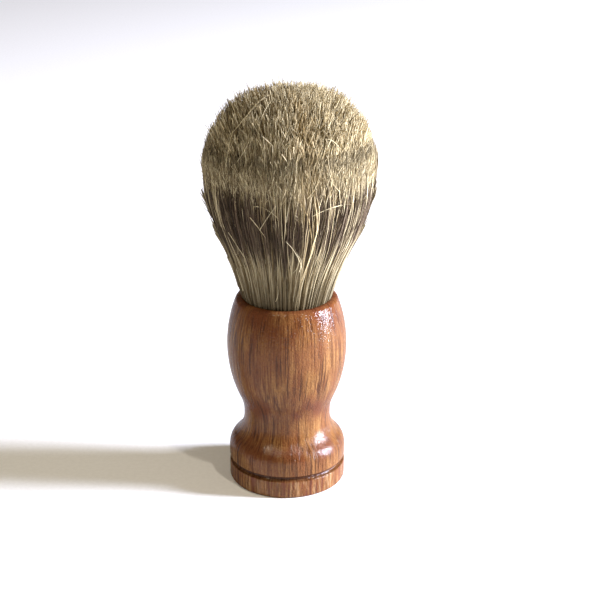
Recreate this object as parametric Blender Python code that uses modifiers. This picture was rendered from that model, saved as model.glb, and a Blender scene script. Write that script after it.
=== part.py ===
"""A shaving brush: a turned wooden handle with a knot of bristle glued into its socket.

Metres, +Z up. The origin is the centre of the handle's foot, and Z is the axis that the handle was
turned on. The bristle is one core and two rings of locks, which bend at the mouth of the handle and
splay outwards, as the knot does against a face.
"""

import math

import bmesh
import bpy
from mathutils import Matrix, Vector

MM = 0.001

# The turned handle, from the foot up
FOOT_RADIUS = 15.5 * MM
FOOT_ROUND = 0.8 * MM
GROOVE_Z = 5.6 * MM
GROOVE_RADIUS = 0.7 * MM
BELL_Z = 9.4 * MM
BELL_ROUND = 4.4 * MM
WAIST_RADIUS = 11.5 * MM
WAIST_LOW_Z = 18.2 * MM
WAIST_HIGH_Z = 19.0 * MM
BULB_RADIUS = 15.8 * MM
BULB_Z = 38.5 * MM
BULB_ROUND = 35.0 * MM
LIP_ROUND = 1.6 * MM
HANDLE_HEIGHT = 52.0 * MM

# The socket bored in its top, for a knot of the standard 22 mm size
SOCKET_RADIUS = 11.1 * MM
SOCKET_DEPTH = 18.0 * MM
MOUTH_ROUND = 0.8 * MM

# The knot: a cone of bristle from the socket's mouth, tangent to a dome centred on the axis
TOTAL_HEIGHT = 109.0 * MM
DOME_RADIUS = 22.0 * MM
DOME_Z = TOTAL_HEIGHT - DOME_RADIUS

# What holds the knot in its socket
CLEARANCE = 0.3 * MM
ADHESIVE_WALL = 0.6 * MM
ADHESIVE_FLOOR = 0.9 * MM
ADHESIVE_HEIGHT = 6.5 * MM
PLUG_HEIGHT = 7.0 * MM
PLUG_BEVEL = 0.4 * MM
THREAD_DIAMETER = 0.6 * MM
THREAD_TURNS = 5
THREAD_PITCH = 0.68 * MM
THREAD_POINTS = 22

# How the knot bends. A bristle held at its root turns about a point 0.15 of its free length up, the
# pivot of a cantilever's equivalent rigid link. Both bends cross there, so what slides is spherical.
PIVOT_SHARE = 0.15
PIVOT_Z = HANDLE_HEIGHT + PIVOT_SHARE * (TOTAL_HEIGHT - HANDLE_HEIGHT)
BALL_RADIUS = 13.6 * MM
NECK_THICKNESS = 3.0 * MM
NECK_ANGLE = math.radians(24)
BEND_LIMIT = math.radians(25)
SHOULDER_ANGLE = NECK_ANGLE + BEND_LIMIT + math.radians(1)
ROOT_TOP = 1.0 * MM

# The locks, which stand on the core's foot at the pivot's height
OUTER_LOCKS = 12
INNER_LOCKS = 6
CORE_SHARE = 0.30
INNER_SHARE = 0.62
RING_CLEARANCE = 0.5 * MM

TURN_STEPS = 48
ARC_STEPS = 6
TAPER_OVERLAP = 2.0 * MM


def clear_scene():
    for obj in list(bpy.data.objects):
        bpy.data.objects.remove(obj)


def make_material(name, colour, roughness):
    material = bpy.data.materials.new(name)
    material.use_nodes = True
    shader = material.node_tree.nodes["Principled BSDF"]
    shader.inputs["Base Color"].default_value = (*colour, 1.0)
    shader.inputs["Roughness"].default_value = roughness
    shader.inputs["Metallic"].default_value = 0.0
    return material


def make_empty(name, location, parent=None):
    empty = bpy.data.objects.new(name, None)
    empty.location = location
    empty.parent = parent
    return empty


def arc(centre, radius, start, end, steps=ARC_STEPS):
    """Points (r, z) of an arc, from the angle start to the angle end, in radians above +r."""
    points = []
    for i in range(steps + 1):
        angle = start + (end - start) * i / steps
        points.append((centre[0] + radius * math.cos(angle), centre[1] + radius * math.sin(angle)))
    return points


def ogee(wide_radius, wide_z, bead_radius, waist_radius, waist_z):
    """From the widest point of a bead to a waist: a convex arc and a concave one that meet tangent."""
    drop = wide_radius - waist_radius
    height = abs(waist_z - wide_z)
    span = (height**2 + drop**2) / (2 * drop)
    cove_radius = span - bead_radius
    turn = math.copysign(math.asin(height / span), waist_z - wide_z)
    bead = arc((wide_radius - bead_radius, wide_z), bead_radius, 0, turn)
    cove = arc((waist_radius + cove_radius, waist_z), cove_radius, math.pi + turn, math.pi)
    return bead + cove[1:]


def handle_outline():
    """From the middle of the socket's floor, up its wall, over the lip and down to the foot."""
    floor_z = HANDLE_HEIGHT - SOCKET_DEPTH
    bulb_centre = (BULB_RADIUS - BULB_ROUND, BULB_Z)
    reach = BULB_ROUND - LIP_ROUND
    lip_angle = math.asin((HANDLE_HEIGHT - LIP_ROUND - BULB_Z) / reach)
    lip_centre = (
        bulb_centre[0] + reach * math.cos(lip_angle),
        bulb_centre[1] + reach * math.sin(lip_angle),
    )
    mouth_centre = (SOCKET_RADIUS + MOUTH_ROUND, HANDLE_HEIGHT - MOUTH_ROUND)
    outline = [(0, floor_z), (SOCKET_RADIUS, floor_z)]
    outline += arc(mouth_centre, MOUTH_ROUND, math.pi, math.pi / 2, steps=4)
    outline += arc(lip_centre, LIP_ROUND, math.pi / 2, lip_angle)
    outline += arc(bulb_centre, BULB_ROUND, lip_angle, 0)[1:]
    outline += ogee(BULB_RADIUS, BULB_Z, BULB_ROUND, WAIST_RADIUS, WAIST_HIGH_Z)[1:]
    outline += ogee(FOOT_RADIUS, BELL_Z, BELL_ROUND, WAIST_RADIUS, WAIST_LOW_Z)[::-1]
    outline += arc((FOOT_RADIUS, GROOVE_Z), GROOVE_RADIUS, math.pi / 2, 3 * math.pi / 2)
    foot_centre = (FOOT_RADIUS - FOOT_ROUND, FOOT_ROUND)
    outline += arc(foot_centre, FOOT_ROUND, 0, -math.pi / 2, steps=3)
    outline.append((0, 0))
    return outline


def knot_outline():
    """From the crown down the dome and its tangent cone to the mouth, and in to the axis there."""
    toward_centre = math.atan2(SOCKET_RADIUS, DOME_Z - HANDLE_HEIGHT)
    distance = math.hypot(SOCKET_RADIUS, DOME_Z - HANDLE_HEIGHT)
    flare = math.asin(DOME_RADIUS / distance) - toward_centre
    dome = arc((0, DOME_Z), DOME_RADIUS, math.pi / 2, -flare, steps=14)
    dome[0] = (0, TOTAL_HEIGHT)
    return dome + [(SOCKET_RADIUS, HANDLE_HEIGHT), (0, HANDLE_HEIGHT)]


def turned(name, outline, origin_z=0):
    """A solid turned about Z from an outline of (r, z) points that runs down its outer side."""
    mesh = bpy.data.meshes.new(name)
    vertices = [(r, 0, z - origin_z) for r, z in outline]
    edges = [(i, i + 1) for i in range(len(vertices) - 1)]
    mesh.from_pydata(vertices, edges, [])
    obj = bpy.data.objects.new(name, mesh)
    obj.location = (0, 0, origin_z)
    obj.rotation_euler = (0, 0, math.pi / TURN_STEPS)
    screw = obj.modifiers.new("turn", "SCREW")
    screw.steps = TURN_STEPS
    screw.render_steps = TURN_STEPS
    screw.use_merge_vertices = True
    screw.merge_threshold = 0.00001
    return obj


def finished_mesh(obj):
    """The object's mesh in world space with its modifiers applied. The object itself is removed."""
    bpy.context.scene.collection.objects.link(obj)
    bpy.context.view_layer.update()
    graph = bpy.context.evaluated_depsgraph_get()
    mesh = bpy.data.meshes.new_from_object(obj.evaluated_get(graph))
    mesh.transform(obj.matrix_world)
    bpy.data.objects.remove(obj)
    return mesh


def cut(mesh, planes):
    """The mesh of a convex solid cut by planes, each (point, normal), with what lies past them gone."""
    work = bmesh.new()
    work.from_mesh(mesh)
    for point, normal in planes:
        everything = work.verts[:] + work.edges[:] + work.faces[:]
        bmesh.ops.bisect_plane(work, geom=everything, plane_co=point, plane_no=normal, clear_outer=True)
        rim = [edge for edge in work.edges if edge.is_boundary]
        bmesh.ops.holes_fill(work, edges=rim)
    bmesh.ops.recalc_face_normals(work, faces=work.faces[:])
    result = bpy.data.meshes.new("cut")
    work.to_mesh(result)
    work.free()
    return result


def fan_apex():
    """The height on the axis where the knot's cone would meet, below the socket's mouth."""
    (wide_radius, wide_z), (mouth_radius, mouth_z) = knot_outline()[-3:-1]
    return mouth_z - mouth_radius * (wide_z - mouth_z) / (wide_radius - mouth_radius)


def fan_radius(share, z):
    """The radius at height z of a cone that keeps this share of the knot's own cone."""
    (wide_radius, wide_z), _ = knot_outline()[-3:-1]
    return share * wide_radius * (z - fan_apex()) / (wide_z - fan_apex())


def facet(share, azimuth, gap, outward):
    """A plane of a pyramid inside the knot, whose side is this share of the cone's radius away."""
    slope = fan_radius(share, 1) - fan_radius(share, 0)
    normal = Vector((1, 0, -slope)).normalized()
    normal = Matrix.Rotation(azimuth, 3, "Z") @ normal
    sign = 1 if outward else -1
    point = Vector((0, 0, fan_apex())) - sign * normal * gap / 2
    return point, sign * normal


def lock_sides(half_angle, gap):
    """The two planes through the axis that bound a lock whose middle is on +X."""
    planes = []
    for side in (1, -1):
        normal = Vector((-math.sin(half_angle), side * math.cos(half_angle), 0))
        planes.append((-normal * gap / 2, normal))
    return planes


def lock_mesh(planes, hinge_radius):
    """The knot cut by planes and by the top of the core's foot, with its hinge at the origin."""
    body = finished_mesh(turned("knot_body", knot_outline()))
    foot = (Vector((0, 0, PIVOT_Z + CLEARANCE)), Vector((0, 0, -1)))
    mesh = cut(body, [foot, *planes])
    mesh.transform(Matrix.Translation((-hinge_radius, 0, -PIVOT_Z - CLEARANCE)))
    return mesh


def build_handle():
    handle = turned("handle", handle_outline())
    handle.data.materials.append(make_material("lacquered_wood", (0.22, 0.09, 0.035), 0.25))
    return handle


def build_adhesive():
    """The cup of cured epoxy that fills the socket around the plug."""
    floor_z = HANDLE_HEIGHT - SOCKET_DEPTH + CLEARANCE
    radius = SOCKET_RADIUS - CLEARANCE
    inside = radius - ADHESIVE_WALL
    top = floor_z + ADHESIVE_HEIGHT
    outline = [
        (0, floor_z + ADHESIVE_FLOOR),
        (inside, floor_z + ADHESIVE_FLOOR),
        (inside, top),
        (radius, top),
        (radius, floor_z),
        (0, floor_z),
    ]
    adhesive = turned("socket_adhesive", outline)
    adhesive.data.materials.append(make_material("cured_epoxy", (0.55, 0.45, 0.25), 0.2))
    return adhesive


def plug_size():
    """The plug's radius, and the heights of its bottom and top."""
    radius = SOCKET_RADIUS - 2 * CLEARANCE - ADHESIVE_WALL
    bottom = HANDLE_HEIGHT - SOCKET_DEPTH + 2 * CLEARANCE + ADHESIVE_FLOOR
    return radius, bottom, bottom + PLUG_HEIGHT


def build_plug():
    """The resin plug in which the bristle's roots are set."""
    radius, bottom, top = plug_size()
    outline = [
        (0, top),
        (radius - PLUG_BEVEL, top),
        (radius, top - PLUG_BEVEL),
        (radius, bottom + PLUG_BEVEL),
        (radius - PLUG_BEVEL, bottom),
        (0, bottom),
    ]
    plug = turned("knot_plug", outline)
    plug.data.materials.append(make_material("knot_resin", (0.08, 0.07, 0.06), 0.4))
    return plug


def thread_radius():
    """The radius that the binding thread's own line is wound at."""
    return SOCKET_RADIUS - CLEARANCE - THREAD_DIAMETER / 2


def build_thread():
    """The thread wound round the roots above the plug, which ties the knot."""
    start_z = plug_size()[2] + CLEARANCE + THREAD_DIAMETER / 2
    count = THREAD_TURNS * THREAD_POINTS
    curve = bpy.data.curves.new("binding_thread", "CURVE")
    curve.dimensions = "3D"
    curve.bevel_depth = THREAD_DIAMETER / 2
    curve.bevel_resolution = 1
    curve.use_fill_caps = True
    spline = curve.splines.new("POLY")
    spline.points.add(count)
    for i, point in enumerate(spline.points):
        angle = 2 * math.pi * i / THREAD_POINTS
        height = start_z + THREAD_PITCH * i / THREAD_POINTS
        around = (thread_radius() * math.cos(angle), thread_radius() * math.sin(angle))
        point.co = (*around, height, 1)
    thread = bpy.data.objects.new("binding_thread", curve)
    curve.materials.append(make_material("binding_cotton", (0.75, 0.72, 0.62), 0.8))
    return thread


def build_roots(bristle):
    """The bristle that stays still: from the plug up to a dish that the neck turns in."""
    bottom = plug_size()[2] + CLEARANCE
    tied_radius = thread_radius() - THREAD_DIAMETER / 2 - CLEARANCE
    tied_top = bottom + THREAD_DIAMETER + THREAD_TURNS * THREAD_PITCH + CLEARANCE
    free_radius = SOCKET_RADIUS - CLEARANCE
    top = HANDLE_HEIGHT - ROOT_TOP
    dish_radius = BALL_RADIUS + CLEARANCE
    dish_end = -math.acos((PIVOT_Z - top) / dish_radius)
    dish = arc((0, PIVOT_Z), dish_radius, -math.pi / 2, -math.pi / 2 - dish_end)
    dish[0] = (0, PIVOT_Z - dish_radius)
    outline = dish + [
        (free_radius, top),
        (free_radius, tied_top + free_radius - tied_radius),
        (tied_radius, tied_top),
        (tied_radius, bottom),
        (0, bottom),
    ]
    roots = turned("bristle_roots", outline)
    roots.data.materials.append(bristle)
    return roots


def build_neck(bristle):
    """The slice of bristle between the two bends: a bowl centred on the pivot."""
    inner_radius = BALL_RADIUS - NECK_THICKNESS
    rim = NECK_ANGLE - math.pi / 2
    inside = arc((0, PIVOT_Z), inner_radius, -math.pi / 2, rim)
    outside = arc((0, PIVOT_Z), BALL_RADIUS, rim, -math.pi / 2)
    inside[0] = (0, PIVOT_Z - inner_radius)
    outside[-1] = (0, PIVOT_Z - BALL_RADIUS)
    neck = turned("bristle_neck", inside + outside, origin_z=PIVOT_Z)
    neck.data.materials.append(bristle)
    return neck


def build_core(bristle):
    """The middle of the knot: a foot that turns in the neck, and a six-sided column."""
    ball = BALL_RADIUS - NECK_THICKNESS - CLEARANCE
    shoulder = SHOULDER_ANGLE - math.pi / 2
    foot_outline = [(0, PIVOT_Z), (BALL_RADIUS, PIVOT_Z)]
    foot_outline += arc((0, PIVOT_Z), BALL_RADIUS, 0, shoulder)[1:]
    foot_outline += arc((0, PIVOT_Z), ball, shoulder, -math.pi / 2)
    foot_outline[-1] = (0, PIVOT_Z - ball)
    core = bpy.data.objects.new("bristle_core", finished_mesh(turned("foot", foot_outline)))

    planes = [(Vector((0, 0, PIVOT_Z - TAPER_OVERLAP)), Vector((0, 0, -1)))]
    for side in range(INNER_LOCKS):
        planes.append(facet(CORE_SHARE, 2 * math.pi * side / INNER_LOCKS, CLEARANCE, outward=True))
    body = finished_mesh(turned("knot_body", knot_outline()))
    column = bpy.data.objects.new("column", cut(body, planes))
    column.hide_render = True
    column.display_type = "WIRE"
    join = core.modifiers.new("join", "BOOLEAN")
    join.operation = "UNION"
    join.object = column

    for obj in (core, column):
        obj.data.transform(Matrix.Translation((0, 0, -PIVOT_Z)))
        obj.location = (0, 0, PIVOT_Z)
    core.data.materials.append(bristle)
    return core, column


def build_lock_ring(name, count, first_azimuth, planes, hinge_radius, bristle):
    """One ring of equal locks, each with its origin on its hinge at its outer foot."""
    mesh = lock_mesh(planes + lock_sides(math.pi / count, CLEARANCE), hinge_radius)
    mesh.materials.append(bristle)
    locks = []
    for i in range(count):
        azimuth = first_azimuth + 2 * math.pi * i / count
        lock = bpy.data.objects.new(f"{name}_{i + 1:02d}", mesh)
        lock.location = (
            hinge_radius * math.cos(azimuth),
            hinge_radius * math.sin(azimuth),
            PIVOT_Z + CLEARANCE,
        )
        lock.rotation_euler = (0, 0, azimuth)
        locks.append(lock)
    return locks


def build_locks(bristle):
    """The inner ring stands round the core. Two locks of the outer ring stand behind each of it."""
    foot_z = PIVOT_Z + CLEARANCE
    half_outer = math.pi / OUTER_LOCKS
    inner_planes = [facet(CORE_SHARE, 0, CLEARANCE, outward=False)]
    for side in (half_outer, -half_outer):
        inner_planes.append(facet(INNER_SHARE, side, RING_CLEARANCE, outward=True))
    inner_hinge = fan_radius(INNER_SHARE, foot_z) / math.cos(half_outer)
    locks = build_lock_ring("inner_lock", INNER_LOCKS, 0, inner_planes, inner_hinge, bristle)

    outer_planes = [facet(INNER_SHARE, 0, RING_CLEARANCE, outward=False)]
    outer_hinge = fan_radius(1, foot_z)
    locks += build_lock_ring(
        "outer_lock", OUTER_LOCKS, half_outer, outer_planes, outer_hinge, bristle
    )
    return locks


def place(objects, collection, parent):
    """Puts the objects in the collection, under the parent, and leaves them where they are."""
    for obj in objects:
        collection.objects.link(obj)
        obj.parent = parent
        obj.matrix_parent_inverse = Matrix.Translation(-parent.location)


def main():
    clear_scene()
    brush = bpy.data.collections.new("shaving_brush")
    helpers = bpy.data.collections.new("helpers")
    bpy.context.scene.collection.children.link(brush)
    bpy.context.scene.collection.children.link(helpers)

    bristle = make_material("bristle", (0.48, 0.42, 0.29), 0.6)
    origin = make_empty("brush", (0, 0, 0))
    pivot = make_empty("knot_pivot", (0, 0, PIVOT_Z), parent=origin)
    brush.objects.link(origin)
    brush.objects.link(pivot)

    fixed = [build_handle(), build_adhesive(), build_plug(), build_thread(), build_roots(bristle)]
    core, column = build_core(bristle)
    place(fixed, brush, origin)
    place([build_neck(bristle), core, *build_locks(bristle)], brush, pivot)
    place([column], helpers, pivot)


main()
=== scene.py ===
"""The looks of a shaving brush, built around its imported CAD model: a turned wooden handle under
lacquer and a knot of banded bristle, hair by hair. Shapes are in millimetres until a mesh is made;
materials, lights and bounds are in metres. Heights are above the foot, and the knot's azimuths are
anticlockwise from +X, so the front is at -90 degrees.
"""

import math

import bmesh
import bpy
import numpy as np
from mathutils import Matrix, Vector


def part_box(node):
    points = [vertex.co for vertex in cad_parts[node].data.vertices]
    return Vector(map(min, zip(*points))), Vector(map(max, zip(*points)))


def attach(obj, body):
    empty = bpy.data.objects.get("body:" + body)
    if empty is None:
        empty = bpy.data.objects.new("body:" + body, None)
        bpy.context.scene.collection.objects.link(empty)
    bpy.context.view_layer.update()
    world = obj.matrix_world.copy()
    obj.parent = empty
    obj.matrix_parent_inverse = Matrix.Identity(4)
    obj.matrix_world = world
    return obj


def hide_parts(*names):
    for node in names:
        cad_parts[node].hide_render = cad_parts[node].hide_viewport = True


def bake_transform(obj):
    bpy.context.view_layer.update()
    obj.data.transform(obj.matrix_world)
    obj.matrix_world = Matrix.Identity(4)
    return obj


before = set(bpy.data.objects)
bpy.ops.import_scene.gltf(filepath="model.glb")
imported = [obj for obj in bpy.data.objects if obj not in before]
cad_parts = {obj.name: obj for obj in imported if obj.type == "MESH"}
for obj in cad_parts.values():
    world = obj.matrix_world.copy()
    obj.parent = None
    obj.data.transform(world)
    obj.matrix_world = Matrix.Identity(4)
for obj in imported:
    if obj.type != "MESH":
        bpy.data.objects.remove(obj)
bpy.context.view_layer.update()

MM = 0.001
CAD_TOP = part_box("bristle_core")[1].z / MM
HANDLE_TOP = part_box("handle")[1].z / MM

# The turned handle, as the CAD has it
FOOT_RADIUS, FOOT_ROUND = 15.5, 0.8
GROOVE_Z, GROOVE_RADIUS = 5.6, 0.7
BELL_Z, BELL_ROUND = 9.4, 4.4
WAIST_RADIUS, WAIST_LOW_Z, WAIST_HIGH_Z = 11.5, 18.2, 19.0
BULB_RADIUS, BULB_Z, BULB_ROUND = 15.8, 38.5, 35.0
LIP_ROUND = 1.6
SOCKET_RADIUS, SOCKET_DEPTH, MOUTH_ROUND = 11.1, 18.0, 0.8
TURN_STEPS = 192

# Where the turning cuts across the grain, which reddens and darkens it: the waist, the lip and the
# bell's edge, each a height, how far it reaches and how strong it is
CROSS_GRAIN = ((23.5, 5.5, 0.85), (50.5, 9.0, 0.85), (11.8, 3.2, 0.60))

# The knot
DOME_RADIUS = 22.0
DOME_Z = CAD_TOP - DOME_RADIUS
ROOT_Z = HANDLE_TOP - 2.2
ENVELOPE_Z = (49.0, 51.0, 51.6, 52.3, 53.2, 55.0, 58.0, 62.0, 66.0, 70.0, 75.0, 80.0, 84.0, 87.5)
ENVELOPE_RADIUS = (10.9, 11.0, 11.3, 11.8, 12.1, 12.6, 13.45, 14.8, 16.4, 18.2, 20.0, 21.3, 21.7, 21.8)
CROWN_HEIGHT, CROWN_FLATNESS, CROWN_EDGE = 20.3, 2.7, 1.8
LEAN = 0.7
BAND_LOW_Z, BAND_HIGH_Z = 66.0, 85.0
NECK_CUT_Z, CORE_CUT_Z = 63.0, 74.0
NECK_RINGS, BEND_RINGS, FREE_RINGS = 6, 6, 12
BEND_START_Z, SPLAY_END_Z = 53.0, 99.0
INNER_HAIR_Z, LOOSE_FROM_Z, CROSSING_TOP_Z = 86.0, 66.0, 108.0
INNER_SHARE, CORE_SHARE = 0.62, 0.30
OUTER_LOCKS, INNER_LOCKS = 12, 6

rng = np.random.default_rng(11)
gap_shade_rng = np.random.default_rng(12)


# --- Node helpers ---------------------------------------------------------------------------------


class Shader:
    """A material whose nodes are added and linked by short calls."""

    def __init__(self, name, roughness, **constants):
        self.material = bpy.data.materials.new(name)
        self.material.use_nodes = True
        self.tree = self.material.node_tree
        self.surface = self.tree.nodes["Principled BSDF"]
        self.surface.inputs["Roughness"].default_value = roughness
        for socket, value in constants.items():
            self.surface.inputs[socket.replace("_", " ")].default_value = value

    def node(self, kind, inputs=None, **settings):
        made = self.tree.nodes.new("ShaderNode" + kind)
        for key, value in settings.items():
            setattr(made, key, value)
        for key, value in (inputs or {}).items():
            self.put(made.inputs[key], value)
        return made

    def put(self, socket, value):
        if isinstance(value, bpy.types.NodeSocket):
            self.tree.links.new(value, socket)
        elif isinstance(value, tuple) and len(value) == 3 and socket.type == "RGBA":
            socket.default_value = (*value, 1)
        else:
            socket.default_value = value

    def math(self, operation, a, b=0.0, c=0.0):
        return self.node("Math", {0: a, 1: b, 2: c}, operation=operation).outputs[0]

    def mix(self, factor, a, b):
        """Colour a where the factor is 0 and b where it is 1."""
        return self.node("Mix", {0: factor, 6: a, 7: b}, data_type="RGBA").outputs[2]

    def span(self, value, low, high, to_low=0.0, to_high=1.0, smooth=True):
        kind = "SMOOTHSTEP" if smooth else "LINEAR"
        inputs = {"Value": value, "From Min": low, "From Max": high}
        inputs.update({"To Min": to_low, "To Max": to_high})
        return self.node("MapRange", inputs, interpolation_type=kind).outputs["Result"]

    def noise(self, vector, scale, detail=2.0, roughness=0.5, distortion=0.0):
        inputs = {"Vector": vector, "Scale": scale, "Detail": detail}
        inputs.update({"Roughness": roughness, "Distortion": distortion})
        return self.node("TexNoise", inputs).outputs[0]

    def stretched(self, vector, scale):
        return self.node("Mapping", {"Vector": vector, "Scale": scale}).outputs[0]

    def attribute(self, name):
        return self.node("Attribute", attribute_name=name).outputs["Fac"]

    def bump(self, height, distance):
        return self.node("Bump", {"Height": height, "Distance": distance}).outputs[0]


def wood_material():
    """Reddish-brown open-pored hardwood: fibres along Z, growth rings, dark pores, gloss lacquer."""
    wood = Shader(
        "lacquered_wood", 0.5, Coat_Roughness=0.05, Coat_Weight=0.36, Specular_IOR_Level=0.0
    )
    place = wood.node("TexCoord").outputs["Object"]

    # The fibres follow the outline for the most part, so the streaks are mapped round the axis.
    flat = wood.node("VectorMath", {0: place, 1: (1, 1, 0)}, operation="MULTIPLY").outputs[0]
    round_place = wood.node("VectorMath", {0: flat}, operation="NORMALIZE").outputs[0]
    height_only = wood.node("VectorMath", {0: place, 1: (0, 0, 1)}, operation="MULTIPLY").outputs[0]
    grain_place = wood.node(
        "VectorMath", {0: round_place, 1: (0.0115, 0.0115, 0), 2: height_only}, operation="MULTIPLY_ADD"
    ).outputs[0]
    grain_place = wood.node(
        "VectorMath", {0: flat, 1: (0.2, 0.2, 0), 2: grain_place}, operation="MULTIPLY_ADD"
    ).outputs[0]

    # Streaks from broad to fine, each drawn out along Z; the scales are crests a metre.
    broad = wood.noise(wood.stretched(grain_place, (300, 300, 14)), 1.0, 3, 0.6, 0.3)
    streak = wood.noise(wood.stretched(grain_place, (1750, 1750, 60)), 1.0, 3, 0.6, 0.2)
    fibre = wood.noise(wood.stretched(grain_place, (2700, 2700, 90)), 1.0, 3, 0.6)
    speckle = wood.noise(wood.stretched(place, (3600, 3600, 1300)), 1.0, 3, 0.7)
    patch = wood.noise(wood.stretched(place, (170, 170, 100)), 1.0, 3)
    ring_place = wood.node("Mapping", {"Vector": place, "Location": (0.012, 0.031, 0)}).outputs[0]
    rings = wood.node(
        "TexWave",
        {"Vector": ring_place, "Scale": 62.0, "Distortion": 3.0, "Detail": 2.0, "Detail Scale": 2.2},
        wave_type="RINGS",
        rings_direction="Z",
    ).outputs["Fac"]
    pore = wood.noise(wood.stretched(grain_place, (1900, 1900, 80)), 1.0, 3, 0.55, 0.3)
    pore = wood.span(pore, 0.54, 0.64)

    colour = wood.mix(wood.span(broad, 0.32, 0.68), (0.152, 0.062, 0.016), (0.212, 0.097, 0.030))
    colour = wood.mix(wood.span(streak, 0.41, 0.54, 0.80, 0.0), colour, (0.068, 0.021, 0.005))
    colour = wood.mix(wood.span(fibre, 0.46, 0.62, 0.0, 0.48), colour, (0.340, 0.175, 0.060))
    colour = wood.mix(wood.span(rings, 0.25, 0.95, 0.0, 0.30), colour, (0.105, 0.034, 0.010))
    colour = wood.mix(wood.span(patch, 0.42, 0.62, 0.0, 0.45), colour, (0.130, 0.040, 0.014))
    height = wood.node("SeparateXYZ", {0: place}).outputs["Z"]

    def near(level, reach, amount):
        away = wood.math("ABSOLUTE", wood.math("SUBTRACT", height, level * MM))
        return wood.span(away, reach * 0.1 * MM, reach * MM, amount, 0.0)

    waist, lip, bell = (near(*place_of_cut) for place_of_cut in CROSS_GRAIN)
    cut = wood.math("MAXIMUM", wood.math("MAXIMUM", waist, lip), bell)
    cut = wood.math("MULTIPLY", cut, wood.span(patch, 0.34, 0.58, 0.35, 1.0))
    colour = wood.mix(cut, colour, (0.095, 0.026, 0.010))
    colour = wood.mix(wood.span(speckle, 0.34, 0.56, 0.45, 0.0), colour, (0.050, 0.015, 0.005))
    colour = wood.mix(wood.math("MULTIPLY", pore, 0.75), colour, (0.036, 0.011, 0.004))

    # The foot's edge, below the groove, shows pale and reddish stripes.
    edge = ((GROOVE_Z - 0.9) * MM, (GROOVE_Z - 0.4) * MM)
    foot = wood.span(height, *edge, 1.0, 0.0, smooth=False)
    stripe = wood.noise(wood.stretched(grain_place, (880, 880, 90)), 1.0, 3, 0.7)
    pale = wood.math("MULTIPLY", foot, wood.span(stripe, 0.50, 0.62, 0.0, 0.34))
    red = wood.math("MULTIPLY", foot, wood.span(stripe, 0.38, 0.50, 0.50, 0.0))
    colour = wood.mix(pale, colour, (0.400, 0.250, 0.130))
    colour = wood.mix(red, colour, (0.100, 0.024, 0.018))
    # The groove is darkened: painted shade.
    groove = near(GROOVE_Z, 1.1, 0.75)
    colour = wood.mix(groove, colour, (0.030, 0.009, 0.004))
    wood.put(wood.surface.inputs["Base Color"], colour)

    pits = wood.noise(place, 2100.0, 1, 0.6)
    relief = wood.math("MULTIPLY_ADD", pore, -0.25, pits)
    skin = wood.bump(relief, 0.00012)
    wood.put(wood.surface.inputs["Normal"], skin)
    wood.put(wood.surface.inputs["Coat Normal"], skin)
    return wood.material


def hair_material():
    """Each hair takes its own tone from dark to cream, and its dark band from the band attribute."""
    hair = Shader("bristle", 0.45, Specular_IOR_Level=0.05)
    tone, band, warm = (hair.attribute(name) for name in ("tone", "band", "warm"))
    shade, along = hair.attribute("shade"), hair.attribute("along")
    line = hair.node("CombineXYZ", {0: hair.math("MULTIPLY", tone, 90), 1: along}).outputs[0]
    mottle = hair.noise(line, 0.30, 2)
    pale = hair.mix(tone, (0.130, 0.090, 0.036), (0.95, 0.81, 0.51))
    pale = hair.mix(hair.math("MULTIPLY", warm, 0.6), pale, (0.56, 0.37, 0.14))
    pale = hair.mix(hair.span(mottle, 0.3, 0.7, 0.30, 0.0), pale, (0.15, 0.105, 0.054))
    dark = hair.mix(tone, (0.016, 0.009, 0.005), (0.100, 0.064, 0.043))
    colour = hair.mix(band, pale, dark)
    # The shade attribute pulls hairs towards near black: painted shade, deep in the knot and by the mouth.
    colour = hair.mix(hair.math("MULTIPLY", shade, 0.92), colour, (0.028, 0.018, 0.007))
    hair.put(hair.surface.inputs["Base Color"], colour)
    return hair.material


def filling_material():
    """The deeper bristle, coloured near black as painted shade: it is seen only between the outer hairs."""
    deep = Shader("deep_bristle_painted_shade", 0.9, Specular_IOR_Level=0.1)
    place = deep.node("TexCoord").outputs["Object"]
    streak = deep.noise(deep.stretched(place, (2200, 2200, 90)), 1.0, 3)
    colour = deep.mix(deep.span(streak, 0.3, 0.7), (0.010, 0.007, 0.004), (0.05, 0.037, 0.022))
    deep.put(deep.surface.inputs["Base Color"], colour)
    deep.put(deep.surface.inputs["Normal"], deep.bump(streak, 0.0003))
    return deep.material


def inner_material(name, dark, light, roughness, scale, relief):
    """What lies out of sight in the socket: resin, epoxy and thread, each with a little unevenness."""
    made = Shader(name, roughness)
    place = made.node("TexCoord").outputs["Object"]
    grain = made.noise(made.stretched(place, scale), 1.0, 3)
    made.put(made.surface.inputs["Base Color"], made.mix(made.span(grain, 0.3, 0.7), dark, light))
    made.put(made.surface.inputs["Normal"], made.bump(grain, relief))
    return made.material


def floor_material():
    paper = Shader("floor_paper", 0.75)
    place = paper.node("TexCoord").outputs["Object"]
    grain = paper.noise(place, 900.0, 3)
    tone = paper.mix(paper.span(grain, 0.3, 0.7), (0.88, 0.86, 0.82), (0.92, 0.90, 0.86))
    paper.put(paper.surface.inputs["Base Color"], tone)
    return paper.material


# --- Mesh helpers ---------------------------------------------------------------------------------


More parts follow.
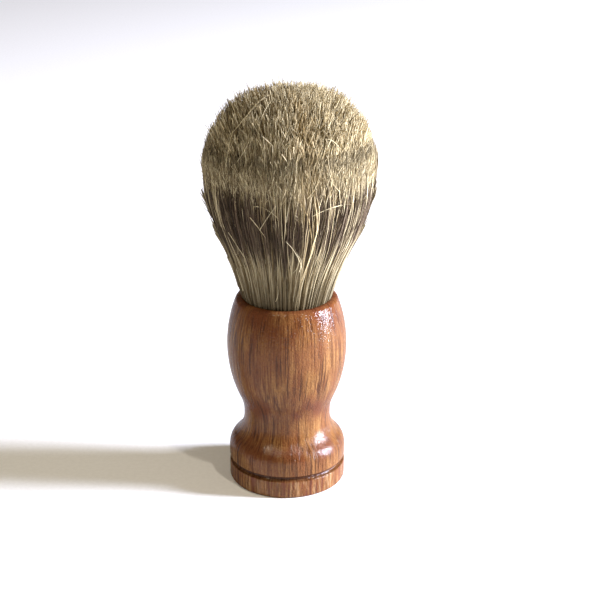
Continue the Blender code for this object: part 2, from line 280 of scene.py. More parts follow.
def mesh_object(name, points, faces, material, uv=None, **attributes):
    """A smooth mesh from points in millimetres and an array of faces of one size."""
    sides = faces.shape[1]
    mesh = bpy.data.meshes.new(name)
    mesh.vertices.add(len(points))
    mesh.vertices.foreach_set("co", (points * MM).astype(np.float32).ravel())
    mesh.loops.add(faces.size)
    mesh.loops.foreach_set("vertex_index", faces.astype(np.int32).ravel())
    mesh.polygons.add(len(faces))
    mesh.polygons.foreach_set("loop_start", np.arange(0, faces.size, sides, dtype=np.int32))
    mesh.update(calc_edges=True)
    mesh.polygons.foreach_set("use_smooth", np.ones(len(faces), bool))
    for key, values in attributes.items():
        layer = mesh.attributes.new(key, "FLOAT", "POINT")
        layer.data.foreach_set("value", values.astype(np.float32).ravel())
    if uv is not None:
        mesh.uv_layers.new(name="OFBake").data.foreach_set("uv", uv.astype(np.float32).ravel())
    mesh.materials.append(material)
    obj = bpy.data.objects.new(name, mesh)
    bpy.context.scene.collection.objects.link(obj)
    return obj


def turned(name, outline, material, steps=TURN_STEPS, wobble=None):
    """A surface turned about Z from (r, z) points. Ends on the axis are closed."""
    outline = np.array(outline, float)
    angles = np.arange(steps) * 2 * math.pi / steps
    radius = np.repeat(outline[:, :1], steps, axis=1)
    if wobble is not None:
        radius = radius * wobble(angles, outline[:, 1])
    points = np.stack(
        [
            radius * np.cos(angles),
            radius * np.sin(angles),
            np.repeat(outline[:, 1:], steps, axis=1),
        ],
        axis=2,
    ).reshape(-1, 3)
    rows = np.arange(len(outline) - 1)[:, None] * steps
    here = np.arange(steps)[None]
    there = (here + 1) % steps
    faces = np.stack(
        [rows + here, rows + steps + here, rows + steps + there, rows + there], axis=2
    ).reshape(-1, 4)
    obj = mesh_object(name, points, faces, material)
    weld(obj)
    return obj


def weld(obj):
    """Joins the points that meet on the axis."""
    work = bmesh.new()
    work.from_mesh(obj.data)
    bmesh.ops.remove_doubles(work, verts=work.verts[:], dist=1e-6)
    bmesh.ops.recalc_face_normals(work, faces=work.faces[:])
    for face in work.faces:
        face.smooth = True
    work.to_mesh(obj.data)
    work.free()


def arc(centre, radius, start, end, steps):
    angle = np.linspace(start, end, steps + 1)
    return [(centre[0] + radius * math.cos(a), centre[1] + radius * math.sin(a)) for a in angle]


def ogee(wide_radius, wide_z, bead_radius, waist_radius, waist_z):
    """A convex arc and a concave one that meet tangent, as in the CAD."""
    drop = wide_radius - waist_radius
    height = abs(waist_z - wide_z)
    span = (height**2 + drop**2) / (2 * drop)
    cove_radius = span - bead_radius
    turn = math.copysign(math.asin(height / span), waist_z - wide_z)
    bead = arc((wide_radius - bead_radius, wide_z), bead_radius, 0, turn, 16)
    cove = arc((waist_radius + cove_radius, waist_z), cove_radius, math.pi + turn, math.pi, 16)
    return bead + cove[1:]


def handle_outline():
    floor_z = HANDLE_TOP - SOCKET_DEPTH
    centre = (BULB_RADIUS - BULB_ROUND, BULB_Z)
    reach = BULB_ROUND - LIP_ROUND
    lip_angle = math.asin((HANDLE_TOP - LIP_ROUND - BULB_Z) / reach)
    lip = (centre[0] + reach * math.cos(lip_angle), centre[1] + reach * math.sin(lip_angle))
    outline = [(0, floor_z), (SOCKET_RADIUS - 0.4, floor_z), (SOCKET_RADIUS, floor_z + 0.4)]
    outline += [(SOCKET_RADIUS, z) for z in np.linspace(floor_z + 3, HANDLE_TOP - 2, 5)]
    mouth = (SOCKET_RADIUS + MOUTH_ROUND, HANDLE_TOP - MOUTH_ROUND)
    outline += arc(mouth, MOUTH_ROUND, math.pi, math.pi / 2, 8)
    outline += arc(lip, LIP_ROUND, math.pi / 2, lip_angle, 10)
    outline += arc(centre, BULB_ROUND, lip_angle, 0, 14)[1:]
    outline += ogee(BULB_RADIUS, BULB_Z, BULB_ROUND, WAIST_RADIUS, WAIST_HIGH_Z)[1:]
    outline += ogee(FOOT_RADIUS, BELL_Z, BELL_ROUND, WAIST_RADIUS, WAIST_LOW_Z)[::-1]
    outline += groove_outline()
    outline += arc((FOOT_RADIUS - FOOT_ROUND, FOOT_ROUND), FOOT_ROUND, 0, -math.pi / 2, 6)
    outline += [(10, 0), (5, 0), (0, 0)]
    return outline


def groove_outline():
    """The groove above the foot, with its two lips eased."""
    lip = 0.28
    upper = (FOOT_RADIUS - lip, GROOVE_Z + GROOVE_RADIUS + lip)
    lower = (FOOT_RADIUS - lip, GROOVE_Z - GROOVE_RADIUS - lip)
    points = arc(upper, lip, 0, -math.pi / 2, 4)
    points += arc((FOOT_RADIUS - lip, GROOVE_Z), GROOVE_RADIUS, math.pi / 2, 3 * math.pi / 2, 10)
    return points + arc(lower, lip, math.pi / 2, 0, 4)


# --- The bristle ----------------------------------------------------------------------------------


def smooth(value, low, high):
    t = np.clip((value - low) / (high - low), 0, 1)
    return t * t * (3 - 2 * t)


def envelope(z):
    """The knot's outer radius, which fills the mouth, fans out, and stands upright by the dome."""
    return np.interp(z, ENVELOPE_Z, ENVELOPE_RADIUS)


def dome_tip(share):
    """The height of the crown over a hair: a dome with a flattened top."""
    inside = np.clip(1 - share**CROWN_FLATNESS, 0, 1)
    return DOME_Z + CROWN_HEIGHT * inside ** (1 / CROWN_EDGE)


def sideways(z):
    """The whole knot stands a little to the right of the handle's axis."""
    return LEAN * smooth(z, HANDLE_TOP, HANDLE_TOP + 20)


def waves(angle, low, high, terms, seed):
    """A smooth random function of azimuth with low to high crests a turn, about -1 to 1."""
    draw = np.random.default_rng(seed)
    total = 0
    for k in draw.integers(low, high + 1, terms):
        total = total + np.cos(k * angle + draw.uniform(0, 2 * math.pi))
    return total / math.sqrt(terms / 2) / 1.6


# The band's dark clumps: azimuth, half-width in degrees, darkness
DARK_CLUMPS = ((-88, 6.0, 1.2), (-124, 16, 1.1), (-51, 7, 0.85), (-16, 12, 1.1), (-104, 3, 0.3))
DARK_CLUMPS += ((-67, 4, 0.6), (-160, 10, 0.6), (22, 14, 0.7), (62, 16, 0.9), (104, 12, 0.7), (150, 18, 0.9))


def band_strength(azimuth):
    """How dark the band is round the knot: it comes in clumps."""
    total = 0.16 + 0 * azimuth
    for middle, width, height in DARK_CLUMPS:
        away = (np.degrees(azimuth) - middle + 180) % 360 - 180
        total = total + height * np.exp(-0.5 * (away / width) ** 2)
    return np.clip(total, 0, 1)


def nearest_leader(spot, count):
    """For each hair, the nearest of a few drawn at random, towards which its clump leans."""
    leaders = rng.permutation(len(spot))[:count]
    nearest = np.empty(len(spot), int)
    batch = 2000
    for i in range(0, len(spot), batch):
        gap = spot[i : i + batch, None] - spot[leaders][None]
        nearest[i : i + batch] = leaders[(gap**2).sum(axis=2).argmin(axis=1)]
    return nearest


def up_to(tip, start):
    """Ring heights from the start to the tip of each hair."""
    return start[:, None] + (tip - start)[:, None] * np.linspace(0, 1, FREE_RINGS)


class Hairs:
    """Hairs as centre lines, from their shares of the envelope's radius, azimuths and heights."""

    def __init__(self, share, azimuth, heights, flare=None, dip=0.0):
        self.count = len(share)
        self.share, self.azimuth, self.z = share, azimuth, heights
        self.tip, self.dip = heights[:, -1], dip
        self.flare = np.zeros(self.count) if flare is None else flare
        kind = rng.random(self.count)
        tone = np.where(kind < 0.55, rng.normal(0.28, 0.12, self.count), 0)
        tone = np.where((kind >= 0.55) & (kind < 0.86), rng.normal(0.62, 0.12, self.count), tone)
        tone = np.where(kind >= 0.86, rng.normal(0.90, 0.08, self.count), tone)
        self.tone = np.clip(np.where(kind < 0.10, 0.08, tone), 0, 1)
        self.seed = rng.uniform(0, 1, self.count)

    def lines(self, wave, pull, clump_count, tilt, first):
        """Ring centres, shaped (hair, ring, 3). Above the height first, the hairs go their own way."""
        n, z = self.count, self.z
        free = np.clip((z - first[:, None]) / (self.tip - first)[:, None], 0, 1)
        rise = np.clip((z - HANDLE_TOP) / (CAD_TOP - HANDLE_TOP), 0, 1)
        radius = self.share[:, None] * envelope(z) + self.flare[:, None] * free**2
        radius = radius * (1 - self.dip * (1 - free) ** 1.15)
        out = np.stack([np.cos(self.azimuth), np.sin(self.azimuth)], axis=1)
        along = np.stack([-out[:, 1], out[:, 0]], axis=1)
        centre = np.empty((*z.shape, 3))
        centre[:, :, :2] = radius[:, :, None] * out[:, None]
        centre[:, :, 0] += sideways(z)
        centre[:, :, 2] = z

        spot = self.share[:, None] * out * DOME_RADIUS
        self.clump = nearest = nearest_leader(spot, clump_count)
        pulled = pull * rng.uniform(0.3, 1.3, n)[:, None] * smooth(rise, 0.1, 0.9)
        centre[:, :, :2] += (spot[nearest] - spot)[:, None] * pulled[:, :, None]

        # Radial moves stay small at the sides, so that the outline stays crisp.
        drift = rng.normal(0, 1.2, n)[:, None] * smooth(rise, 0.0, 0.55)
        centre[:, :, :2] += drift[:, :, None] * along[:, None]
        loose = 0.12 + 0.88 * (1 - self.share**3)
        group = rng.normal(0, tilt * 0.7, (n, 2))[nearest]
        own = rng.normal(0, tilt, (n, 2))
        aside = (own[:, :1] + group[:, :1])[:, None] * along[:, None]
        outward = ((own[:, 1:] + group[:, 1:]) * loose[:, None])[:, None] * out[:, None]
        centre[:, :, :2] += (aside + outward) * (free**2.4)[:, :, None]
        for wavelength, size in ((6.0, 0.35), (11.0, 0.7), (23.0, 1.2)):
            phase = rng.uniform(0, 2 * math.pi, (n, 1, 1))
            swing = np.sin(2 * math.pi * z[:, :, None] / wavelength + phase)
            amount = rng.normal(0, wave * size, (n, 1, 1)) * (0.35 + 0.65 * free[:, :, None])
            amount = amount * smooth(rise, 0.0, 0.25)[:, :, None]
            turn = rng.normal(0, 0.35, (n, 1, 1)) * loose[:, None, None]
            centre[:, :, :2] += amount * swing * (along[:, None] + turn * out[:, None])
        return centre


def tubes(lines, thickness, taper_length, tip_share=0.2):
    """Three-sided tubes along the lines, narrowed towards the tip."""
    step = np.gradient(lines, axis=1)
    step /= np.linalg.norm(step, axis=2, keepdims=True) + 1e-9
    side = np.stack([-lines[:, :, 1], lines[:, :, 0], 0 * lines[:, :, 0]], axis=2)
    side /= np.linalg.norm(side, axis=2, keepdims=True) + 1e-9
    out = np.cross(side, step)
    out /= np.linalg.norm(out, axis=2, keepdims=True) + 1e-9
    left = np.linalg.norm(np.diff(lines, axis=1), axis=2)
    left = np.concatenate([np.cumsum(left[:, ::-1], axis=1)[:, ::-1], 0 * left[:, :1]], axis=1)
    narrow = tip_share + (1 - tip_share) * np.clip(left / taper_length, 0, 1) ** 0.7
    radius = (thickness[:, None] * narrow / 2)[:, :, None]
    turn = rng.uniform(0, 2 * math.pi, (len(lines), 1, 1))
    rings = [
        lines + radius * (np.cos(turn + a) * side + np.sin(turn + a) * out)
        for a in (0, 2 * math.pi / 3, 4 * math.pi / 3)
    ]
    return np.stack(rings, axis=2)


def strip_uv(n, segments):
    """One narrow strip of the bake's square for each hair, so that each keeps its own colour."""
    pixels, width = 512, 2
    columns = pixels // width
    rows = max(1, math.ceil(n / columns))
    column, row = np.arange(n) % columns, np.arange(n) // columns
    low = column[:, None, None] * width / pixels + 0.0002
    high = (column[:, None, None] + 1) * width / pixels - 0.0002
    step = np.arange(segments)[None, :, None]
    bottom = (row[:, None, None] + 0.02 + 0.96 * step / segments) / rows
    top = (row[:, None, None] + 0.02 + 0.96 * (step + 1) / segments) / rows
    corner = np.ones((n, segments, 3))
    u = np.stack([low * corner, high * corner, high * corner, low * corner], axis=3)
    v = np.stack([bottom * corner, bottom * corner, top * corner, top * corner], axis=3)
    return np.stack([u, v], axis=4).reshape(-1, 2)


def hair_piece(name, rings, values, material):
    """One mesh of the tubes whose rings are shaped (hair, ring, 3, 3)."""
    n, m = rings.shape[:2]
    hair = np.arange(n)[:, None, None] * m * 3
    ring = np.arange(m - 1)[None, :, None] * 3
    here = np.arange(3)[None, None]
    there = (here + 1) % 3
    base = hair + ring
    quads = np.stack([base + here, base + there, base + 3 + there, base + 3 + here], axis=3)
    spread = {key: np.repeat(value[:, :, None], 3, axis=2) for key, value in values.items()}
    uv = strip_uv(n, m - 1)
    obj = mesh_object(name, rings.reshape(-1, 3), quads.reshape(-1, 4), material, uv, **spread)
    return obj


def lock_of(share, azimuth):
    """Which body carries each hair's upper part. The edges between locks are ragged."""
    n = len(share)
    share = share + rng.normal(0, 0.018, n)
    turn = azimuth + rng.normal(0, math.radians(1.6), n) / np.maximum(share, 0.3)
    outer = np.floor(turn / (2 * math.pi / OUTER_LOCKS)).astype(int) % OUTER_LOCKS
    inner = np.floor(turn / (2 * math.pi / INNER_LOCKS) + 0.5).astype(int) % INNER_LOCKS
    names = np.where(
        share > INNER_SHARE,
        np.char.add("outer_lock_", np.char.zfill((outer + 1).astype(str), 2)),
        np.char.add("inner_lock_", np.char.zfill((inner + 1).astype(str), 2)),
    )
    return np.where(share < CORE_SHARE, "core", names)


def band_of(z, tip, strength, shift, top):
    """The dark band: near full between its soft ends, which differ from hair to hair."""
    low = BAND_LOW_Z + shift
    high = np.minimum(top + 1.7 * shift, tip - 1.5)
    inside = smooth(z, (low - 2.5)[:, None], (low + 4)[:, None])
    inside = inside * (1 - smooth(z, (high - 3)[:, None], (high + 2)[:, None]))
    return inside * strength[:, None]


def colours(hairs, lines, depth):
    """The attributes that the bristle's material reads. Depth is 0 at the surface and 1 where the most shade
    is painted.
    """
    n = hairs.count
    spin = np.arctan2(lines[:, -1, 1], lines[:, -1, 0])
    chance = band_strength(spin + 0.03 * rng.normal(0, 1, n))
    marked = rng.uniform(0, 1, n) < 0.12 + 0.88 * chance
    strength = np.where(marked, rng.uniform(0.88, 1.0, n), rng.uniform(0.0, 0.35, n))
    group = rng.normal(0, 1, n)[hairs.clump]
    shift = 2.0 * rng.normal(0, 1, n) + 2.2 * group
    top = BAND_HIGH_Z + 3.6 * waves(spin, 6, 30, 12, 17)
    top = top + 5.0 * np.exp(-0.5 * ((np.degrees(spin) + 130) / 14) ** 2)
    tone = hairs.tone + 0.10 * rng.normal(0, 1, n)[hairs.clump]
    # Hairs on the right, towards the key light, are painted paler and those on the left darker: painted
    # light and shade.
    tone = tone + 0.03 + 0.14 * np.cos(hairs.azimuth)
    warm_spot = np.exp(-0.5 * (((np.degrees(spin) + 74) / 6) ** 2))
    warm = np.clip(0.28 * rng.random(n) + 0.75 * warm_spot * rng.random(n), 0, 1)
    along = lines[:, :, 2]
    flat = np.ones(along.shape[1])
    # Hairs darken towards the mouth: painted shade.
    mouth = 0.95 * (1 - smooth(along, HANDLE_TOP - 4, HANDLE_TOP + 24))
    # A quarter of the hairs are darker near the roots: painted shade in the gaps between strands.
    root_gap_shade = np.where(gap_shade_rng.random(n) < 0.24, 0.60, 0.0)[:, None]
    root_gap_shade = root_gap_shade * (1 - smooth(along, HANDLE_TOP + 6, HANDLE_TOP + 20))
    return {
        "tone": np.clip(np.clip(tone, 0, 1)[:, None] * flat - root_gap_shade, 0, 1),
        "band": band_of(along, hairs.tip, strength, shift, top),
        "warm": warm[:, None] * flat,
        "shade": 1 - (1 - 0.9 * depth[:, None]) * (1 - mouth),
        "along": along + 40 * hairs.seed[:, None],
    }


# Hairs that lie across the others: azimuth and height of both ends, how far the middle bows up,
# thickness
CROSSING = (
    (-74.5, 80.4, -44.0, 81.6, 1.1, 0.22),
    (-113.0, 82.6, -97.0, 80.2, 1.0, 0.18),
    (-116.0, 79.6, -106.0, 74.3, 0.2, 0.15),
    (-114.0, 98.6, -106.0, 95.0, 0.5, 0.20),
    (-60.0, 98.4, -50.0, 95.0, 0.8, 0.22),
    (-78.0, 85.0, -70.0, 89.5, -0.3, 0.22),
)
CROSSING_LOW = ((-92.0, 73.6, -77.0, 64.6, 0.8, 0.12), (-140.0, 73.5, -128.0, 66.0, 0.3, 0.14))

# Short hairs whose tips stand off the outline: azimuth, height and spread of the tips, how far off
TUFTS = ((180, 79.5, 9, 1.3), (-1, 91.0, 7, 0.9), (2, 80.0, 7, 0.9), (62, 82.0, 8, 1.0))
TUFTS += ((125, 80.0, 8, 1.1), (186, 71.5, 6, 1.0), (-5, 72.5, 6, 0.7), (95, 71.0, 7, 0.8))
TUFTS += ((176, 62.2, 5, 0.9),)
TUFT_HAIRS = 34


def surface(z):
    """The knot's radius at a height, the crown included."""
    level = np.clip((z - DOME_Z) / CROWN_HEIGHT, 0, 0.98)
    return envelope(z) * (1 - level**CROWN_EDGE) ** (1 / CROWN_FLATNESS)


def stray_strands(low, high, count):
    """Short fine hairs anywhere between two heights. The columns are those of crossing_strands."""
    length = np.minimum(rng.uniform(2, 8, count), high - low - 0.4)
    z = rng.uniform(low + 0.1, high - 0.1 - length, count)
    azimuth = rng.uniform(-math.pi, math.pi, count)
    turn = rng.normal(0, 0.30, count) * length / envelope(z)
    bow, thickness = rng.normal(0, 0.5, count), rng.uniform(0.10, 0.17, count)
    lift, tone = rng.uniform(0.0, 0.4, count), rng.uniform(0.35, 0.9, count)
    aside, dark = rng.normal(0, 0.8, count), np.zeros(count)
    ends = (azimuth, z, azimuth + turn, z + length)
    return np.stack([*ends, bow, thickness, lift, tone, aside, dark], axis=1)


def crossing_strands(named):
    """Azimuth and height of both ends, bow, thickness, lift, tone, sideways bow and darkness."""
    rows = [
        (math.radians(a), low, math.radians(b), high, bow, thickness, 0.25, 0.85, 0, 0)
        for a, low, b, high, bow, thickness in named
    ]
    return np.array(rows).reshape(-1, 10)


def tuft_strands(low, high, middle, height, spread, off):
    """A tuft whose tips end near one height. The columns are those of crossing_strands."""
    tip = np.minimum(height + rng.normal(0, 1.3, TUFT_HAIRS), high - 0.1)
    foot = np.maximum(tip - rng.uniform(5, 9, TUFT_HAIRS), low + 0.1)
    spin = np.radians(middle + rng.normal(0, spread / 2, TUFT_HAIRS))
    tip_spin = spin + np.radians(rng.normal(0, 1.2, TUFT_HAIRS))
    thickness, lift = rng.uniform(0.2, 0.4, TUFT_HAIRS), off * rng.uniform(0.3, 1.1, TUFT_HAIRS)
    tone, dark = rng.uniform(0.1, 0.7, TUFT_HAIRS), rng.uniform(0.4, 1.0, TUFT_HAIRS)
    bow, aside = np.zeros(TUFT_HAIRS), rng.normal(0, 0.2, TUFT_HAIRS)
    return np.stack([spin, foot, tip_spin, tip, bow, thickness, lift, tone, aside, dark], axis=1)


def loose_hairs(low, high, count, steps, named=()):
    """Hairs that cross the others on the knot's surface, and the tufts whose tips end there."""
    strands = [stray_strands(low, high, count), crossing_strands(named)]
    strands += [tuft_strands(low, high, *tuft) for tuft in TUFTS if low < tuft[1] < high]
    columns = np.concatenate(strands).T
    thickness = columns[5]
    spin0, z0, spin1, z1, bow, _, lift, tone, aside, dark = columns[:, :, None]
    t = np.linspace(0, 1, steps)
    hump = 4 * t * (1 - t)
    height = np.clip(z0 + (z1 - z0) * t + bow * hump, low, CROSSING_TOP_Z)
    spin = spin0 + (spin1 - spin0) * t + aside / DOME_RADIUS * hump
    radius = surface(height) + 0.10 + lift * (0.2 + 0.8 * t**2)
    x = radius * np.cos(spin) + sideways(height)
    lines = np.stack([x, radius * np.sin(spin), height], axis=2)
    rings = tubes(lines, thickness, 5.0, 0.3)
    flat = np.ones(steps)
    values = {
        "tone": tone * flat,
        "band": dark * (1 - 0.6 * t),
        "warm": 0.1 * rng.random(len(thickness))[:, None] * flat,
        "shade": np.zeros_like(height),
        "along": height,
    }
    return rings, values, surface(height[:, -1]) / DOME_RADIUS, spin[:, -1]


def together(*groups):
    """Joins (rings, values) pairs into one."""
    rings = np.concatenate([group[0] for group in groups])
    return rings, {key: np.concatenate([g[1][key] for g in groups]) for key in groups[0][1]}


def pick(group, keep, first=0, last=None):
    rings, values = group
    return rings[keep, first:last], {k: v[keep, first:last] for k, v in values.items()}


def full_hairs(count, material):
    """The hairs of the outside, whole from the socket to the tip, cut where the bends start."""
    azimuth = rng.uniform(0, 2 * math.pi, count)
    # Hairs in the furrows lie a little deeper; depth, which the furrows raise, becomes painted shade.
    furrow = np.clip(waves(azimuth, 45, 120, 18, 3), 0, 1)
    depth = np.clip(0.9 * rng.random(count) + 0.3 * furrow, 0, 1)
    share = 1.0 - 0.07 * depth - 0.012 * furrow
    tip = dome_tip(share) + np.minimum(rng.normal(-0.1, 0.6, count), 0.5)
    short = rng.random(count) < 0.08
    tip = np.where(short, rng.uniform(CORE_CUT_Z + 2, DOME_Z, count), tip)
    flare = np.where(short, rng.uniform(0.0, 0.6, count), 0.0)
    neck = np.linspace(ROOT_Z, NECK_CUT_Z, NECK_RINGS)
    bend = np.linspace(NECK_CUT_Z, CORE_CUT_Z, BEND_RINGS)
    below = np.concatenate([neck, bend[1:-1]])
    free = up_to(tip, np.full(count, CORE_CUT_Z))
    heights = np.concatenate([np.repeat(below[None], count, axis=0), free], axis=1)
    thickness = rng.uniform(0.12, 0.28, count)
    hairs = Hairs(share, azimuth, heights, flare)
    lines = hairs.lines(0.20, 0.30, count // 12, 0.9, np.full(count, LOOSE_FROM_Z))
    whole = tubes(lines, thickness, 7.0), colours(hairs, lines, depth)

    first_free = len(below)
    quarter = np.floor(azimuth / (math.pi / 2)).astype(int) % 4
    roots = loose_hairs(BEND_START_Z, NECK_CUT_Z, 10, NECK_RINGS)
    bends = loose_hairs(NECK_CUT_Z, CORE_CUT_Z, 20, BEND_RINGS, CROSSING_LOW)
    for i in range(4):
        near = np.floor(roots[3] / (math.pi / 2)).astype(int) % 4 == i
        rings = together(pick(whole, quarter == i, 0, NECK_RINGS), pick(roots[:2], near))
        lower = hair_piece(f"bristle_root_hairs_{i + 1}", *rings, material)
        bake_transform(lower)
        near = np.floor(bends[3] / (math.pi / 2)).astype(int) % 4 == i
        middle = pick(whole, quarter == i, NECK_RINGS - 1, first_free + 1)
        middle = together(middle, pick(bends[:2], near))
        middle = hair_piece(f"bristle_bend_hairs_{i + 1}", *middle, material)
        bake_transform(middle)
        if i == 0:
            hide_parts("bristle_roots", "bristle_neck")
    return pick(whole, slice(None), first_free), lock_of(share, azimuth)


def clump_noise(share, azimuth):
    """A random function over the knot seen from above, with crests about 4 mm apart, -1 to 1."""
    draw = np.random.default_rng(21)
    x, y = share * np.cos(azimuth), share * np.sin(azimuth)
    total = 0
    for _ in range(24):
        angle, pace = draw.uniform(0, math.pi), draw.uniform(12, 38)
        phase = draw.uniform(0, 2 * math.pi)
        total = total + np.cos(pace * (x * math.cos(angle) + y * math.sin(angle)) + phase)
    return np.clip(total / math.sqrt(12) / 1.5, -1, 1)


def crown_hairs(count):
    """The hairs whose tips make the crown. Only their upper ends can be seen."""
    level = rng.uniform(0.07, 1, count)
    share = np.sqrt(np.clip(1 - level**2, 0, 1)) ** 0.93
    azimuth = rng.uniform(0, 2 * math.pi, count)
    # Depth becomes painted shade, with less of it at the crown's edge.
    depth = rng.random(count) ** 2.2 * (1 - 0.6 * smooth(share, 0.75, 0.95))
    tip = dome_tip(share) - 1.6 * depth + rng.normal(0, 0.26, count) + 0.6 * share * np.cos(azimuth)
    tip = tip + 0.35 * clump_noise(share, azimuth)
    tip = tip - 4.0 * smooth(share, 0.86, 1.0) * rng.random(count)
    start = np.maximum(tip - 15, CORE_CUT_Z + rng.uniform(0, 3, count))
    thickness = rng.uniform(0.18, 0.40, count)
    inset = 1 - 0.01 * depth - 0.008 * smooth(share, 0.88, 1.0)
    hairs = Hairs(share * inset, azimuth, up_to(tip, start), dip=0.17)
    # Besides a random tone by clump, the tone holds painted light and shade: the left side paler, the top of
    # the crown darker, its edge paler.
    left = np.clip(-np.cos(azimuth), 0, 1) * share
    high = 0.19 * (1 - share)
    edge = 0.16 * smooth(share, 0.84, 0.96)
    hairs.tone = hairs.tone + 0.13 * clump_noise(share, azimuth) + 0.22 * left - high + edge
    lines = hairs.lines(0.30, 0.34, count // 10, 1.4, start)
    return (tubes(lines, thickness, 5.0, 0.30), colours(hairs, lines, depth)), lock_of(share, azimuth)


def flank_hairs(count):
    """Shorter hairs round the sides, whose pale tips lie over the upper edge of the dark band."""
    azimuth = rng.uniform(0, 2 * math.pi, count)
    share = 1 - 0.03 * rng.random(count) ** 1.5
    reach = 6.0 + 10.0 * (1 - band_strength(azimuth)) + 3.0 * waves(azimuth, 12, 50, 14, 8)
    tip = 94.5 - np.maximum(reach + 1.5, 5) * rng.random(count)
    tip = np.minimum(tip, dome_tip(share) + 0.3)
    start = np.maximum(tip - rng.uniform(11, 20, count), CORE_CUT_Z + rng.uniform(0, 2, count))
    thickness = rng.uniform(0.14, 0.32, count)
    hairs = Hairs(share, azimuth, up_to(tip, start), dip=0.11)
    # The left side, away from the key light, is painted paler: painted light.
    hairs.tone = np.clip(hairs.tone + 0.06 + 0.18 * np.clip(-np.cos(azimuth), 0, 1), 0, 1)
    lines = hairs.lines(0.30, 0.34, count // 8, 1.3, start)
    # A random depth gives the flank hairs painted shade.
    values = colours(hairs, lines, 0.6 * rng.random(count))
    values["band"] = values["band"] * 0.8
    return (tubes(lines, thickness, 5.0, 0.30), values), lock_of(share, azimuth)


def filling():
    """The mass of bristle behind the hairs that are modelled, in three lengths for the two bends."""

    def wobble(angles, z):
        return 1 + 0.012 * waves(angles, 3, 44, 30, 5)[None] + 0 * z[:, None]

    def ring(heights):
        return [(share * float(envelope(z)), z) for z in heights]

    deep = filling_material()
    share = 0.87
    lower = np.linspace(ROOT_Z, NECK_CUT_Z, 12)
    middle = np.linspace(NECK_CUT_Z, CORE_CUT_Z, 10)
    upper = np.linspace(CORE_CUT_Z, DOME_Z - 1, 8)
    dome = [
        (share * float(envelope(upper[-1])) * math.cos(a), upper[-1] + 13 * math.sin(a))
        for a in np.linspace(0, math.pi / 2, 10)[1:]
    ]
    roots = turned("bristle_filling_roots", [(0, ROOT_Z), *ring(lower)][::-1], deep, 96, wobble)
    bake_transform(roots)
    bend = turned("bristle_filling_bend", ring(middle)[::-1], deep, 96, wobble)
    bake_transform(bend)
    heart = turned("bristle_filling_heart", (ring(upper) + dome)[::-1], deep, 96, wobble)
    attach(heart, "core")


def knot():
    material = hair_material()
    outside, outside_lock = full_hairs(6400, material)
    crown, crown_lock = crown_hairs(13500)
    flank, flank_lock = flank_hairs(3000)
    crossing = loose_hairs(CORE_CUT_Z, CROSSING_TOP_Z, 70, FREE_RINGS, CROSSING)
    crossing_lock = lock_of(crossing[2], crossing[3])
    for body in sorted(set(outside_lock) | set(crown_lock)):
        rings, values = together(
            pick(outside, outside_lock == body),
            pick(crown, crown_lock == body),
            pick(flank, flank_lock == body),
            pick(crossing[:2], crossing_lock == body),
        )
        piece = hair_piece(f"bristle_hairs_{body}", rings, values, material)
        if body == "core":
            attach(piece, "core")
            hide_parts("bristle_core")
        elif body.startswith("outer"):
            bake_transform(piece)
            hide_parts(body)
        else:
            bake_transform(piece)
            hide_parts(body)


# --- The brush ------------------------------------------------------------------------------------


def build_handle():
    handle = turned("turned_handle", handle_outline(), wood_material())
    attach(handle, "handle")
    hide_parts("handle")


def paint_inner_nodes():
    looks = {
        "socket_adhesive": ((0.42, 0.30, 0.12), (0.58, 0.46, 0.24), 0.2, (400, 400, 400), 0.00005),
        "knot_plug": ((0.05, 0.04, 0.035), (0.10, 0.085, 0.07), 0.4, (600, 600, 600), 0.00003),
        "binding_thread": ((0.55, 0.50, 0.40), (0.82, 0.78, 0.68), 0.8, (5000, 5000, 900), 0.0001),
    }
    for node, (dark, light, roughness, scale, relief) in looks.items():
        made = inner_material(node, dark, light, roughness, scale, relief)
        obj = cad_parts[node]
        obj.data.materials.clear()
        obj.data.materials.append(made)


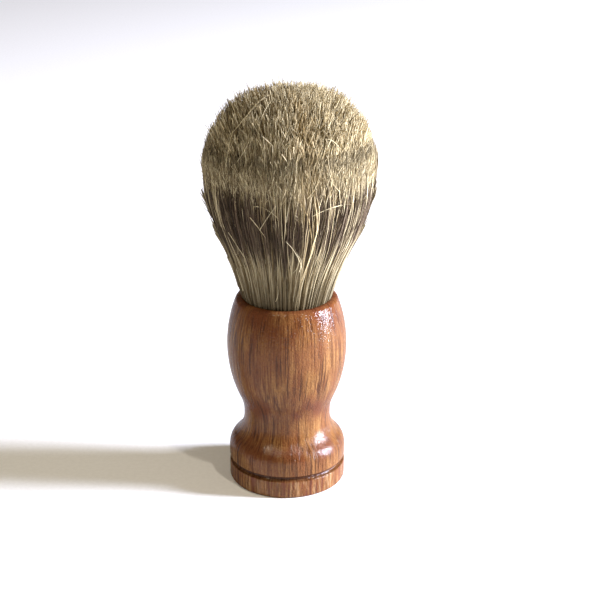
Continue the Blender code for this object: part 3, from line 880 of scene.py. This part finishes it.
def area_light(name, azimuth, elevation, distance, size, power, colour):
    """A soft light aimed at the brush. Azimuth is to the right of the camera, in degrees."""
    a, e = math.radians(azimuth), math.radians(elevation)
    data = bpy.data.lights.new(name, "AREA")
    data.shape = "RECTANGLE"
    data.size, data.size_y = size
    data.energy = power
    data.color = colour
    light = bpy.data.objects.new(name, data)
    back = np.array([math.sin(a) * math.cos(e), -math.cos(a) * math.cos(e), math.sin(e)])
    target = np.array([0, 0, 0.055])
    light.location = target + distance * back
    look = bpy.data.objects.new(name + "_aim", None)
    look.location = target
    bpy.context.scene.collection.objects.link(light)
    bpy.context.scene.collection.objects.link(look)
    track = light.constraints.new("TRACK_TO")
    track.target = look
    track.track_axis, track.up_axis = "TRACK_NEGATIVE_Z", "UP_Y"


def studio():
    size = 3.0
    corners = np.array([(-1, -1, 0), (1, -1, 0), (1, 1, 0), (-1, 1, 0)]) * size / MM
    floor = mesh_object("floor", corners, np.array([[0, 1, 2, 3]]), floor_material())

    world = bpy.data.worlds.new("studio")
    world.use_nodes = True
    background = world.node_tree.nodes["Background"]
    background.inputs["Color"].default_value = (1.0, 0.86, 0.66, 1)
    background.inputs["Strength"].default_value = 0.18
    bpy.context.scene.world = world
    bpy.context.scene.view_settings.view_transform = "Standard"

    area_light("key_right", 87, 16, 1.1, (0.24, 0.60), 66.0, (0.93, 0.99, 1.22))
    area_light("top_soft", 10, 75, 0.9, (0.6, 0.6), 0.8, (1.0, 0.93, 0.80))
    area_light("spark_left", -38, 50, 0.8, (0.03, 0.025), 1.5, (1.0, 0.93, 0.80))
    area_light("spark_right", 38, 50, 0.8, (0.03, 0.025), 1.5, (1.0, 0.93, 0.80))


def camera():
    """From the front, 21.75 degrees above, aimed a little to the right of the brush."""
    elevation, distance = math.radians(21.75), 400.0
    aim = np.array([3.48, 0, 50.4])
    back = np.array([0, -math.cos(elevation), math.sin(elevation)])
    data = bpy.data.cameras.new("camera")
    data.lens, data.sensor_width = 91.8, 36.0
    data.clip_start, data.clip_end = 0.01, 20
    made = bpy.data.objects.new("camera", data)
    made.location = (aim + distance * back) * MM
    made.rotation_euler = (math.pi / 2 - elevation, 0, 0)
    bpy.context.scene.collection.objects.link(made)
    bpy.context.scene.camera = made


build_handle()
paint_inner_nodes()
filling()
knot()
studio()
camera()
